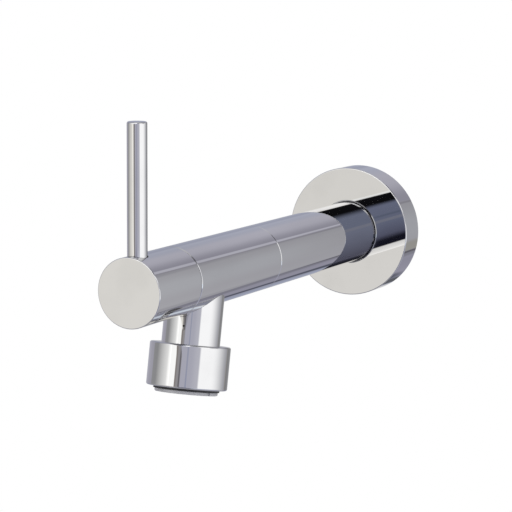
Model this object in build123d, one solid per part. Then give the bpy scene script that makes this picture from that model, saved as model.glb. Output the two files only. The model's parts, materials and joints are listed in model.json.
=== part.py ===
from build123d import *
import os
from math import cos, pi, radians, sin, sqrt, tan

os.makedirs("parts", exist_ok=True)

# Wall-mounted single-lever tap, in millimetres.
# The origin is on the body's axis in the wall plane. +Y goes into the wall, the tap
# stands out towards -Y, and +Z is up. A station is a distance from the wall plane
# along the body, and a depth is a distance from the body's axis down the outlet.

# How far a cutting shape runs past what it cuts, and how deep two joined shapes overlap
cut_margin = 1.0
join_depth = 0.5

# Body, sizes that show
body_radius = 15.0
rear_length = 117.0
spout_length = 73.5
outlet_setback = 22.0
outlet_tilt = 11.0
seam_gap = 0.4
seam_bevel = 0.25

# Body walls and bores
body_wall = 3.0
joint_wall = 1.8
joint_depth = 14.0
joint_relief = 1.0
joint_ring_depth = 1.7
joint_ring_width = 2.1
joint_ring_place = 2.0
spigot_wall = 3.1
valve_wall = 4.5
seat_wall = 4.0
seat_radius = 6.0
chamber_margin = 1.0
port_lead = 0.1
seal_land = 4.0
back_gap = 0.5

# Wall flange and its seals
flange_radius = 32.0
flange_depth = 15.0
flange_front = 3.0
skirt_wall = 3.5
skirt_lip = 2.0
hub_wall = 3.2
hub_length = 9.0
flange_clearance = 0.3
flange_bore_bevel = 0.9
flange_bevel_depth = 0.35
flange_edge = 0.5
flange_ring_groove = 1.1
flange_ring_slack = 0.2
flange_ring_place = 4.5
gasket_depth = 2.0
gasket_width = 3.4
gasket_gap = 0.1

# Inlet tail, a half-inch pipe thread of 20.955 mm
tail_radius = 10.48
tail_length = 20.0
tail_grip = 13.5
tail_wall = 3.0
tail_key_flats = 13.0
tail_key_depth = 9.0
tail_relief = 3.0
tail_neck = 0.9
tail_neck_length = 1.5
tail_lead = 0.8
tail_ring_depth = 1.8
tail_ring_width = 1.98
tail_ring_place = 1.0
strainer_recess = 1.0
strainer_gap = 0.1
strainer_wall = 0.8
strainer_length = 4.0
strainer_plate = 1.0
strainer_hole = 0.55
strainer_pitch = 1.75
strainer_rows = 3

# Outlet neck and aerator
neck_radius = 12.8
neck_length = 30.5
neck_wall = 1.5
saddle_gap = 0.05
spigot_gap = 0.1
port_radius = 8.5
neck_thread_step = 1.5
neck_thread_length = 9.0
housing_radius = 17.7
housing_length = 19.0
housing_wall = 3.5
housing_edge = 0.8
housing_hub_gap = 2.0
insert_gap = 0.1
insert_wall = 1.2
insert_groove = 0.9
insert_groove_length = 1.1
insert_groove_rise = 0.6
insert_lip = 1.4
insert_lip_step = 0.3
insert_edge = 0.3
insert_plate = 2.0
insert_recess = 0.6
insert_rim = 0.8
insert_ledge = 0.7
insert_cell = 1.05
insert_pitch = 2.5
notch_width = 2.4
notch_angle = 72.0
lip_seal_gap = 0.05
lip_seal_step = 0.35
washer_thickness = 1.0
washer_step = 3.0
regulator_gap = 0.5
regulator_thickness = 2.4
regulator_hole = 1.0
regulator_holes = 12
regulator_rim = 4.9
dome_margin = 3.4
dome_height = 0.4
screen_gap = 0.2
screen_thickness = 0.8
screen_hole = 0.5
screen_pitch = 1.6

# Ceramic cartridge
thread_clearance = 0.05
basket_step = 1.45
basket_wall = 1.4
land_step = 1.0
valve_ring_depth = 1.7
valve_ring_width = 2.1
valve_ring_place = 0.9
thread_relief = 0.3
window_gap = 0.3
window_width = 10.0
window_length = 7.0
seal_thickness = 2.5
seal_proud = 0.6
seal_wall = 1.9
fixed_disc_thickness = 3.5
moving_disc_thickness = 4.0
disc_clearance = 0.1
disc_film = 0.03
disc_hub = 2.4
disc_rim = 1.2
disc_port_angle = 80.0
disc_lobe_angle = 94.0
tang_width = 3.0
tang_depth = 1.8
tang_clearance = 0.05
tang_end_gap = 0.5
carrier_thickness = 4.0
carrier_shoulder = 2.3
turning_gap = 0.3
thrust_thickness = 1.2
thrust_inset = 0.3
thrust_clearance = 0.1
spindle_clearance = 0.05
spindle_ring_depth = 1.3
spindle_ring_width = 1.7
spindle_ring_gap = 0.01
spindle_ring_place = 6.0
spindle_ring_step = 4.0
nose_wall = 3.0
nose_length = 6.0
hex_thickness = 5.0
hex_gap = 1.4
stop_height = 3.4
stop_tab_angle = 24.0
stop_margin = 0.5
stop_gap = 0.4
stop_land = 1.4
stop_tab_gap = 0.6
circlip_thickness = 1.0
circlip_gap = 0.05
circlip_depth = 0.7
circlip_width = 2.0
circlip_opening = 3.0
washer_plate = 1.2
spline_step = 1.0
spline_depth = 0.4
spline_teeth = 20
spline_clearance = 0.05
spline_end_gap = 0.3

# Handle
cap_wall = 2.0
bearing_length = 4.5
bearing_gap = 0.6
bearing_clearance = 0.05
glide_place = 1.0
glide_depth = 0.4
glide_length = 2.8
glide_gap = 0.1
hub_depth = 16.5
hub_gap = 0.7
front_edge = 0.45
spline_wall = 2.5
insert_length = 8.6
insert_back_gap = 0.3
insert_front_gap = 0.3
socket_clearance = 0.05
spindle_end_gap = 1.0
lever_radius = 4.25
lever_height = 70.4
lever_setback = 7.0
lever_seat = 2.5
lever_fit = 0.03
lever_edge = 0.8
stud_radius = 3.0
stud_in_cap = 4.3
stud_in_lever = 9.0
stud_end_gap = 0.6
grub_radius = 2.5
grub_recess = 2.05
grub_point = 0.8
grub_hole_lead = 0.2
grub_setback = 4.5
grub_key_flats = 2.5
grub_key_depth = 2.4
quarter_turn = 90.0

# Rings of round section
ring_gap = 0.02

# Worked-out radii
water_bore = body_radius - body_wall
joint_bore = body_radius - joint_wall
joint_spigot = joint_bore - thread_clearance
spigot_bore = joint_spigot - spigot_wall
valve_bore = body_radius - valve_wall
cap_bore = body_radius - cap_wall
bearing_radius = cap_bore - bearing_gap
housing_thread = valve_bore - thread_clearance
basket_radius = housing_thread - basket_step
seal_bore = basket_radius + land_step
basket_bore = basket_radius - basket_wall
fixed_disc_radius = basket_bore - disc_clearance
carrier_radius = basket_bore - turning_gap
spindle_radius = carrier_radius - carrier_shoulder
spline_radius = spindle_radius - spline_step
insert_flats = 2 * (spline_radius + spline_wall)
nose_radius = spindle_radius + nose_wall
hex_corner = cap_bore - hex_gap
stop_outer = hex_corner * cos(pi / 6)
stop_washer_radius = nose_radius + stop_gap + stop_land
tail_bore = tail_radius - tail_wall
port_spigot_bore = port_radius - neck_wall
port_hole = port_radius + thread_clearance
port_start = sqrt(water_bore**2 - port_hole**2) - port_lead
grub_inner = insert_flats / 2 + socket_clearance
grub_outer = body_radius - grub_recess

# Worked-out stations along the body
rear_seam = rear_length
handle_seam = rear_seam + spout_length
outlet_station = handle_seam - outlet_setback
tilt = radians(outlet_tilt)
wall_middle = body_radius - body_wall / 2
port_station = outlet_station + wall_middle * tan(tilt)
port_half = port_radius / cos(tilt) + chamber_margin
seat_station = port_station - port_half
chamber_front = port_station + port_half
thread_back = chamber_front + seal_land
bearing_front = handle_seam + bearing_length
hex_front = bearing_front + hex_thickness
nose_front = hex_front + nose_length
basket_back = seat_station + seal_proud
fixed_disc_back = seat_station + seal_thickness
moving_disc_back = fixed_disc_back + fixed_disc_thickness + disc_film
carrier_back = moving_disc_back + moving_disc_thickness
carrier_front = carrier_back + carrier_thickness
basket_front = carrier_front + thrust_thickness + turning_gap
circlip_back = nose_front + turning_gap
circlip_front = circlip_back + circlip_thickness
spline_back = circlip_front + turning_gap
stop_washer_front = spline_back + washer_plate
hub_back = stop_washer_front + hub_gap
handle_front = hub_back + hub_depth
insert_back = stop_washer_front + insert_back_gap
insert_front = insert_back + insert_length
spindle_front = insert_front - spindle_end_gap
lever_station = handle_front - lever_setback
grub_station = hub_back + grub_setback

# Worked-out depths down the outlet
neck_thread_end = neck_length + neck_thread_length
housing_end = neck_length + housing_length
washer_top = neck_thread_end + housing_hub_gap
insert_top = washer_top + washer_thickness
lip_top = housing_end + insert_groove_length
insert_end = lip_top + insert_lip
insert_bore_radius = housing_radius - housing_wall
insert_radius = insert_bore_radius - insert_gap
insert_inside = insert_radius - insert_wall
regulator_top = insert_top + regulator_gap
screen_top = regulator_top + regulator_thickness + screen_gap
ledge_top = screen_top + screen_thickness

# The tap's two axes, as planes whose Z runs outwards
along_body = Plane(origin=(0, 0, 0), x_dir=(1, 0, 0), z_dir=(0, -1, 0))
down_outlet = Plane(
    origin=(0, -outlet_station, 0),
    x_dir=(1, 0, 0),
    z_dir=(0, -sin(tilt), -cos(tilt)),
)


def turned(profile):
    """A solid of revolution about Z from (radius, height) corners."""
    corners = [(radius, 0, height) for radius, height in profile]
    return revolve(make_face(Polyline(*corners, close=True)), Axis.Z)


def tube(outer, inner, low, high):
    """A plain ring between two heights."""
    return turned([(inner, low), (outer, low), (outer, high), (inner, high)])


def rod(radius, low, high):
    """A plain round bar between two heights."""
    return turned([(0, low), (radius, low), (radius, high), (0, high)])


def sector(outer, inner, start, end, low, high):
    """Part of a ring between two angles in degrees."""
    corners = [(inner, 0, low), (outer, 0, low), (outer, 0, high), (inner, 0, high)]
    face = make_face(Polyline(*corners, close=True))
    return Rot(0, 0, start) * revolve(face, Axis.Z, end - start)


def round_ring(inner, outer, height):
    """A rubber ring of round section that fills a groove, less its gap."""
    thickness = (outer - inner) / 2 - ring_gap
    middle = (outer + inner) / 2
    return Pos(0, 0, height) * Torus(middle, thickness)


def hexagon(flats, low, high):
    """A six-sided bar between two heights, flats towards +Y and -Y."""
    outline = RegularPolygon(flats / 2, 6, major_radius=False, rotation=0)
    return extrude(Pos(0, 0, low) * outline, high - low)


def spline_bar(radius, low, high):
    """A bar with triangular spline teeth between two heights."""
    step = pi / spline_teeth
    corners = []
    for index in range(2 * spline_teeth):
        reach = radius if index % 2 == 0 else radius - spline_depth
        corners.append((reach * cos(index * step), reach * sin(index * step)))
    outline = make_face(Polyline(*corners, close=True))
    return extrude(Pos(0, 0, low) * outline, high - low)


def circle_edges(piece, radius, height):
    """The round edges of a turned piece with this radius at this height."""
    found = []
    for edge in piece.edges().filter_by(GeomType.CIRCLE):
        level = abs(edge.arc_center.Z - height) < 0.01
        if level and abs(edge.radius - radius) < 0.01:
            found.append(edge)
    return found


def hex_places(pitch, rows):
    """Centres of a honeycomb of holes, ring by ring."""
    places = [(0.0, 0.0)]
    for ring in range(1, rows + 1):
        for side in range(6):
            for place in range(ring):
                a = radians(60 * side)
                b = radians(60 * side + 120)
                x = pitch * (ring * cos(a) + place * cos(b))
                y = pitch * (ring * sin(a) + place * sin(b))
                places.append((x, y))
    return places


def save(piece, name, plane=None):
    """Put a finished piece on its axis and write its STEP file."""
    placed = piece if plane is None else plane.location * piece
    placed.label = name
    export_step(placed, "parts/" + name + ".step")
    return placed


def make_wall_flange():
    hub_back_face = flange_depth - hub_length
    plate_back = flange_depth - flange_front
    skirt_inside = flange_radius - skirt_wall
    lip_inside = flange_radius - skirt_lip
    bore = body_radius + flange_clearance
    hub_radius = bore + hub_wall
    profile = [
        (lip_inside, 0),
        (flange_radius, 0),
        (flange_radius, flange_depth),
        (bore + flange_bore_bevel, flange_depth),
        (bore, flange_depth - flange_bevel_depth),
        (bore, hub_back_face),
        (hub_radius, hub_back_face),
        (hub_radius, plate_back),
        (skirt_inside, plate_back),
        (skirt_inside, gasket_depth),
        (lip_inside, gasket_depth),
    ]
    flange = turned(profile)
    groove_height = flange_ring_groove * 2 + flange_ring_slack
    groove_back = hub_back_face + flange_ring_place - groove_height / 2
    groove_front = groove_back + groove_height
    flange -= tube(bore + flange_ring_groove, bore - cut_margin, groove_back, groove_front)
    flange = fillet(circle_edges(flange, flange_radius, flange_depth), flange_edge)
    save(flange, "wall_flange", along_body)
    ring = round_ring(body_radius, bore + flange_ring_groove, hub_back_face + flange_ring_place)
    save(ring, "flange_o_ring", along_body)
    gasket_outer = lip_inside - gasket_gap
    gasket = tube(gasket_outer, gasket_outer - gasket_width, 0, gasket_depth)
    save(gasket, "wall_gasket", along_body)


def make_rear_body():
    socket_end = back_gap + tail_grip + tail_relief
    joint_back = rear_seam - joint_depth - joint_relief
    profile = [
        (tail_radius + thread_clearance, back_gap),
        (body_radius, back_gap),
        (body_radius, rear_seam),
        (joint_bore, rear_seam),
        (joint_bore, joint_back),
        (water_bore, joint_back),
        (water_bore, socket_end),
        (tail_radius + thread_clearance, socket_end),
    ]
    body = turned(profile)
    body = chamfer(circle_edges(body, body_radius, rear_seam), seam_bevel)
    body = chamfer(circle_edges(body, body_radius, back_gap), seam_bevel)
    save(body, "rear_body", along_body)


def make_inlet():
    front = back_gap + tail_grip
    neck_front = back_gap + tail_neck_length
    groove_back = neck_front + tail_ring_place
    groove_front = groove_back + tail_ring_width
    root = tail_radius - tail_ring_depth
    profile = [
        (tail_bore, -tail_length),
        (tail_radius - tail_lead, -tail_length),
        (tail_radius, -tail_length + tail_lead),
        (tail_radius, 0),
        (tail_radius - tail_neck, 0),
        (tail_radius - tail_neck, neck_front),
        (tail_radius, neck_front),
        (tail_radius, groove_back),
        (root, groove_back),
        (root, groove_front),
        (tail_radius, groove_front),
        (tail_radius, front),
        (tail_bore, front),
    ]
    key_back = front - tail_key_depth
    plug = rod(tail_bore + join_depth, key_back, front) - hexagon(tail_key_flats, key_back, front)
    tail = turned(profile) + plug
    save(tail, "inlet_tail", along_body)
    ring_station = (groove_back + groove_front) / 2
    ring = round_ring(root, tail_radius + thread_clearance, ring_station)
    save(ring, "inlet_o_ring", along_body)
    cup_radius = tail_bore - strainer_gap
    low = -tail_length + strainer_recess
    cup = tube(cup_radius, cup_radius - strainer_wall, low, low + strainer_length)
    plate = rod(cup_radius, low, low + strainer_plate)
    for x, y in hex_places(strainer_pitch, strainer_rows):
        hole = rod(strainer_hole, low - cut_margin, low + strainer_plate + cut_margin)
        plate -= Pos(x, y, 0) * hole
    save(cup + plate, "inlet_strainer", along_body)


def make_spout_body():
    spigot_back = rear_seam - joint_depth
    seat_back = seat_station - seat_wall
    groove_radius = joint_spigot - joint_ring_depth
    groove_back = spigot_back + joint_ring_place
    groove_front = groove_back + joint_ring_width
    glide_back = handle_seam + glide_place
    glide_front = glide_back + glide_length
    glide_seat = bearing_radius - glide_depth
    profile = [
        (spigot_bore, spigot_back),
        (joint_spigot, spigot_back),
        (joint_spigot, groove_back),
        (groove_radius, groove_back),
        (groove_radius, groove_front),
        (joint_spigot, groove_front),
        (joint_spigot, rear_seam),
        (body_radius, rear_seam),
        (body_radius, handle_seam),
        (bearing_radius, handle_seam),
        (bearing_radius, glide_back),
        (glide_seat, glide_back),
        (glide_seat, glide_front),
        (bearing_radius, glide_front),
        (bearing_radius, bearing_front),
        (valve_bore, bearing_front),
        (valve_bore, thread_back),
        (seal_bore, thread_back),
        (seal_bore, chamber_front),
        (water_bore, chamber_front),
        (water_bore, seat_station),
        (seat_radius, seat_station),
        (seat_radius, seat_back),
        (spigot_bore, seat_back),
    ]
    body = turned(profile)
    body = chamfer(circle_edges(body, body_radius, rear_seam), seam_bevel)
    body = chamfer(circle_edges(body, body_radius, handle_seam), seam_bevel)
    body = along_body.location * body
    body -= down_outlet.location * rod(port_hole, port_start, 2 * body_radius)
    save(body, "spout_body")
    ring = round_ring(groove_radius, joint_bore, (groove_back + groove_front) / 2)
    save(ring, "body_joint_o_ring", along_body)
    low = glide_back + glide_gap
    high = glide_front - glide_gap
    glide = tube(cap_bore - bearing_clearance, glide_seat + ring_gap, low, high)
    save(glide, "glide_ring", along_body)


def make_outlet_neck():
    thread_radius = neck_radius - neck_thread_step
    neck = rod(neck_radius, 0, neck_length) + rod(thread_radius, neck_length, neck_thread_end)
    neck = down_outlet.location * neck
    neck -= along_body.location * rod(body_radius + saddle_gap, 0, handle_front)
    spigot = down_outlet.location * rod(port_radius, 0, neck_length)
    spigot -= along_body.location * rod(water_bore + spigot_gap, 0, handle_front)
    neck += spigot
    neck -= down_outlet.location * rod(port_spigot_bore, 0, neck_thread_end + cut_margin)
    save(neck, "outlet_neck")


def make_aerator():
    thread_hole = neck_radius - neck_thread_step + thread_clearance
    profile = [
        (thread_hole, neck_length),
        (housing_radius, neck_length),
        (housing_radius, housing_end),
        (insert_bore_radius, housing_end),
        (insert_bore_radius, washer_top),
        (thread_hole, washer_top),
    ]
    housing = turned(profile)
    housing = fillet(circle_edges(housing, housing_radius, neck_length), housing_edge)
    housing = fillet(circle_edges(housing, housing_radius, housing_end), housing_edge)
    housing = fillet(circle_edges(housing, insert_bore_radius, housing_end), housing_edge / 2)
    save(housing, "aerator_housing", down_outlet)

    washer_inside = port_spigot_bore + washer_step
    washer = tube(insert_radius, washer_inside, washer_top, insert_top)
    save(washer, "aerator_washer", down_outlet)

    groove_inside = insert_radius - insert_groove
    seal_low = housing_end + lip_seal_gap
    seal_high = lip_top - lip_seal_gap
    seal = tube(insert_radius + lip_seal_step, groove_inside + ring_gap, seal_low, seal_high)
    save(seal, "lip_seal", down_outlet)

    lip_radius = insert_radius - insert_lip_step
    plate_top = insert_end - insert_plate
    below_ledge = insert_inside - insert_ledge
    profile = [
        (insert_inside, insert_top),
        (insert_radius, insert_top),
        (insert_radius, housing_end - insert_groove_rise),
        (groove_inside, housing_end - insert_groove_rise),
        (groove_inside, lip_top),
        (lip_radius, lip_top),
        (lip_radius, insert_end - insert_edge),
        (lip_radius - insert_edge, insert_end),
        (0, insert_end),
        (0, plate_top),
        (below_ledge, plate_top),
        (below_ledge, ledge_top),
        (insert_inside, ledge_top),
    ]
    insert = turned(profile)
    rim = below_ledge - insert_rim
    insert -= rod(rim, insert_end - insert_recess, insert_end + cut_margin)
    rows = int((rim - insert_cell) / insert_pitch)
    cells = []
    for x, y in hex_places(insert_pitch, rows):
        cell = RegularPolygon(insert_cell, 6, major_radius=False, rotation=30)
        cells.append(extrude(Pos(x, y, plate_top - cut_margin) * cell, insert_plate + 2 * cut_margin))
    insert -= cells
    for turn in (0, 180):
        slot = Pos(insert_radius, 0, (lip_top + insert_end) / 2) * Box(
            2 * insert_groove, notch_width, insert_lip + cut_margin
        )
        insert -= Rot(0, 0, 90 - notch_angle + turn) * slot
    save(insert, "aerator_insert", down_outlet)

    disc_radius = insert_inside - insert_gap
    regulator = rod(disc_radius, regulator_top, regulator_top + regulator_thickness)
    ring_radius = disc_radius - regulator_rim
    for index in range(regulator_holes):
        turn = Rot(0, 0, 360 / regulator_holes * index)
        hole = rod(regulator_hole, regulator_top - cut_margin, screen_top)
        regulator -= turn * Pos(ring_radius, 0, 0) * hole
    dome = rod(ring_radius - dome_margin, regulator_top - dome_height, regulator_top)
    save(regulator + dome, "flow_regulator", down_outlet)

    screen = rod(disc_radius, screen_top, ledge_top)
    rows = int((below_ledge - screen_hole) / screen_pitch)
    holes = []
    for x, y in hex_places(screen_pitch, rows):
        hole = rod(screen_hole, screen_top - cut_margin, ledge_top + cut_margin)
        holes.append(Pos(x, y, 0) * hole)
    screen -= holes
    save(screen, "aerator_screen", down_outlet)


def make_cartridge_housing():
    groove_root = seal_bore - valve_ring_depth
    groove_back = chamber_front + valve_ring_place
    groove_front = groove_back + valve_ring_width
    land = seal_bore - disc_clearance
    spindle_bore = spindle_radius + spindle_clearance
    profile = [
        (basket_bore, basket_back),
        (basket_radius, basket_back),
        (basket_radius, chamber_front),
        (land, chamber_front),
        (land, groove_back),
        (groove_root, groove_back),
        (groove_root, groove_front),
        (land, groove_front),
        (land, thread_back + thread_relief),
        (housing_thread, thread_back + thread_relief),
        (housing_thread, bearing_front),
        (nose_radius, bearing_front),
        (nose_radius, nose_front),
        (spindle_bore, nose_front),
        (spindle_bore, basket_front),
        (basket_bore, basket_front),
    ]
    housing = turned(profile)
    collar = hexagon(2 * stop_outer, bearing_front, hex_front)
    inside = nose_radius - join_depth
    collar -= rod(inside, bearing_front - cut_margin, hex_front + cut_margin)
    half_tab = stop_tab_angle / 2 + stop_margin
    start = 90 + quarter_turn + half_tab
    end = 360 + 90 - half_tab
    stop_back = hex_front - join_depth
    stop = sector(stop_outer, inside, start, end, stop_back, hex_front + stop_height)
    housing = housing + collar + stop
    window_back = moving_disc_back + window_gap
    window = Box(window_width, 3 * basket_radius, window_length)
    housing -= Pos(0, 0, window_back + window_length / 2) * window
    save(housing, "cartridge_housing", along_body)
    ring = round_ring(groove_root, seal_bore, (groove_back + groove_front) / 2)
    save(ring, "cartridge_o_ring", along_body)
    seal = tube(fixed_disc_radius, fixed_disc_radius - seal_wall, seat_station, fixed_disc_back)
    save(seal, "seat_seal", along_body)


def make_discs():
    disc = rod(fixed_disc_radius, fixed_disc_back, fixed_disc_back + fixed_disc_thickness)
    port_outer = fixed_disc_radius - disc_rim
    for middle in (0, 180):
        start = middle - disc_port_angle / 2
        end = middle + disc_port_angle / 2
        low = fixed_disc_back - cut_margin
        high = fixed_disc_back + fixed_disc_thickness + cut_margin
        disc -= sector(port_outer, disc_hub, start, end, low, high)
    save(disc, "fixed_disc", along_body)

    front = moving_disc_back + moving_disc_thickness
    disc = rod(carrier_radius, moving_disc_back, front)
    gap_angle = 180 - disc_lobe_angle
    for middle in (90, 270):
        start = middle - gap_angle / 2
        end = middle + gap_angle / 2
        outer = carrier_radius + cut_margin
        low = moving_disc_back - cut_margin
        disc -= sector(outer, disc_hub, start, end, low, front + cut_margin)
    slot = Box(3 * carrier_radius, tang_width, 2 * tang_depth)
    disc -= Pos(0, 0, front) * slot
    save(disc, "moving_disc", along_body)


def make_spindle():
    groove_root = spindle_radius - spindle_ring_depth
    first_groove = basket_front + spindle_ring_place
    inner_grooves = [first_groove, first_groove + spindle_ring_step]
    past = spindle_radius + cut_margin
    spindle = rod(carrier_radius, carrier_back, carrier_front)
    spindle += rod(spindle_radius, carrier_front - join_depth, spline_back)
    spindle += spline_bar(spline_radius, spline_back - join_depth, spindle_front)
    blade_depth = tang_depth - tang_clearance
    blade_length = 2 * (carrier_radius - tang_end_gap)
    blade = Box(blade_length, tang_width - 2 * tang_clearance, 2 * blade_depth)
    spindle += Pos(0, 0, carrier_back) * blade
    for place in inner_grooves:
        low = place - spindle_ring_width / 2
        spindle -= tube(past, groove_root, low, low + spindle_ring_width)
    circlip_root = spindle_radius - circlip_depth
    spindle -= tube(past, circlip_root, circlip_back, circlip_front)
    save(spindle, "spindle", along_body)

    bore = spindle_radius + spindle_clearance - spindle_ring_gap
    rings = [round_ring(groove_root, bore + ring_gap, place) for place in inner_grooves]
    save(Compound(children=rings), "spindle_o_rings", along_body)

    outer = carrier_radius - thrust_inset
    inner = spindle_radius + thrust_clearance
    washer = tube(outer, inner, carrier_front, carrier_front + thrust_thickness)
    save(washer, "thrust_washer", along_body)

    inside = circlip_root + ring_gap
    low = circlip_back + circlip_gap
    high = circlip_front - circlip_gap
    clip = tube(circlip_root + circlip_width, inside, low, high)
    mouth = Box(2 * circlip_width + 2 * circlip_root, circlip_opening, 4 * circlip_thickness)
    clip -= Pos(circlip_width + circlip_root, 0, circlip_back) * mouth
    save(clip, "circlip", along_body)

    plate = rod(stop_washer_radius, spline_back, stop_washer_front)
    low = spline_back - cut_margin
    high = stop_washer_front + cut_margin
    plate -= spline_bar(spline_radius + spline_clearance, low, high)
    start = 90 - stop_tab_angle / 2
    end = 90 + stop_tab_angle / 2
    tab_back = hex_front + stop_tab_gap
    tab_front = spline_back + join_depth
    inner = nose_radius + stop_gap
    tab = sector(stop_washer_radius, inner, start, end, tab_back, tab_front)
    save(plate + tab, "stop_washer", along_body)


def make_handle():
    back = handle_seam + seam_gap
    profile = [
        (cap_bore, back),
        (body_radius, back),
        (body_radius, handle_front),
        (0, handle_front),
        (0, hub_back),
        (cap_bore, hub_back),
    ]
    cap = turned(profile)
    cap = fillet(circle_edges(cap, body_radius, handle_front), front_edge)
    cap = chamfer(circle_edges(cap, body_radius, back), seam_bevel)
    socket_flats = insert_flats + 2 * socket_clearance
    cap -= hexagon(socket_flats, hub_back - cut_margin, insert_front + insert_front_gap)

    seat_floor = body_radius - lever_seat
    stud_bottom = seat_floor - stud_in_cap
    upright = Pos(0, -lever_station, 0)
    cap = along_body.location * cap
    cap -= upright * rod(lever_radius + lever_fit, seat_floor, lever_height)
    cap -= upright * rod(stud_radius, stud_bottom - stud_end_gap / 2, body_radius)
    downwards = Pos(0, -grub_station, 0) * Rot(180, 0, 0)
    hole_radius = grub_radius + thread_clearance
    cap -= downwards * rod(hole_radius, grub_inner - grub_hole_lead, body_radius + cut_margin)
    save(cap, "handle_cap")

    lever = rod(lever_radius, seat_floor, lever_height)
    lever = fillet(circle_edges(lever, lever_radius, lever_height), lever_edge)
    hole_top = seat_floor + stud_in_lever + stud_end_gap
    lever -= rod(stud_radius, seat_floor - cut_margin, hole_top)
    save(upright * lever, "lever_pin")

    stud = rod(stud_radius - thread_clearance, stud_bottom, seat_floor + stud_in_lever)
    save(upright * stud, "lever_stud")

    grub = rod(grub_radius, grub_inner, grub_outer)
    grub = chamfer(circle_edges(grub, grub_radius, grub_inner), grub_point)
    grub -= hexagon(grub_key_flats, grub_outer - grub_key_depth, grub_outer + cut_margin)
    save(downwards * grub, "handle_grub_screw")

    insert = hexagon(insert_flats, insert_back, insert_front)
    low = insert_back - cut_margin
    high = spindle_front + spline_end_gap
    insert -= spline_bar(spline_radius + spline_clearance, low, high)
    save(insert, "spline_insert", along_body)


make_wall_flange()
make_rear_body()
make_inlet()
make_spout_body()
make_outlet_neck()
make_aerator()
make_cartridge_housing()
make_discs()
make_spindle()
make_handle()
print("reach", round(handle_front, 2), "outlet at", round(outlet_station, 2))
print("lowest point of the outlet", round(-insert_end * cos(tilt), 2))
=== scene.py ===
"""A polished chrome wall tap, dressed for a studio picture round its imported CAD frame."""

import json
from collections import namedtuple
from math import atan2, ceil, cos, pi, radians, sin, sqrt, tan

import bpy
from mathutils import Matrix, Vector


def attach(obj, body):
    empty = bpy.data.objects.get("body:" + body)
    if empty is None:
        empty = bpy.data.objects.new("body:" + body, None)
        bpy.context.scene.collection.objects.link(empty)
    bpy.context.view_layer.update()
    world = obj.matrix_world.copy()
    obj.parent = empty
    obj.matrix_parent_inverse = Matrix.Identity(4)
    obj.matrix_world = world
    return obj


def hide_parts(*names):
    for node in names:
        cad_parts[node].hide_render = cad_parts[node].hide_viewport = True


bl_info = {
    "name": "Wall Tap",
    "version": (1, 0, 0),
    "blender": (4, 5, 0),
    "location": "View3D > Sidebar > Wall Tap",
    "description": "Builds a chrome wall tap and its studio round a packed CAD frame",
    "category": "Add Mesh",
}

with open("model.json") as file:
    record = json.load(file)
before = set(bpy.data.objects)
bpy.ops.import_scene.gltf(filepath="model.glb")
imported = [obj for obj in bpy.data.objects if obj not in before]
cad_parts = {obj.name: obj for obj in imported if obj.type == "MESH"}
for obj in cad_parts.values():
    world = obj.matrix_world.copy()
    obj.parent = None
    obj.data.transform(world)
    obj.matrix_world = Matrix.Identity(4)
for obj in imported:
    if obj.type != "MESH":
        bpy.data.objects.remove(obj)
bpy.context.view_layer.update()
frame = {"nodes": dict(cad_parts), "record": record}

MM = 0.001
SEGMENTS = 256
LEVER_SEGMENTS = 160
THREAD_SEGMENTS = 96
FILLET_STEPS = 6

# Rounding of the corners that a seam's bevel leaves
BEVEL_SOFTNESS = 0.06 * MM


# Sizes and colours that a user can change

def length_property(name, description, millimetres):
    """A length that the user can change."""
    return bpy.props.FloatProperty(
        name=name, description=description, default=millimetres * MM, unit="LENGTH")


def colour_property(name, description, value):
    """A colour that the user can change, given as linear red, green and blue."""
    return bpy.props.FloatVectorProperty(
        name=name, description=description, subtype="COLOR", size=3, min=0.0, max=4.0,
        default=value)


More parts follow.
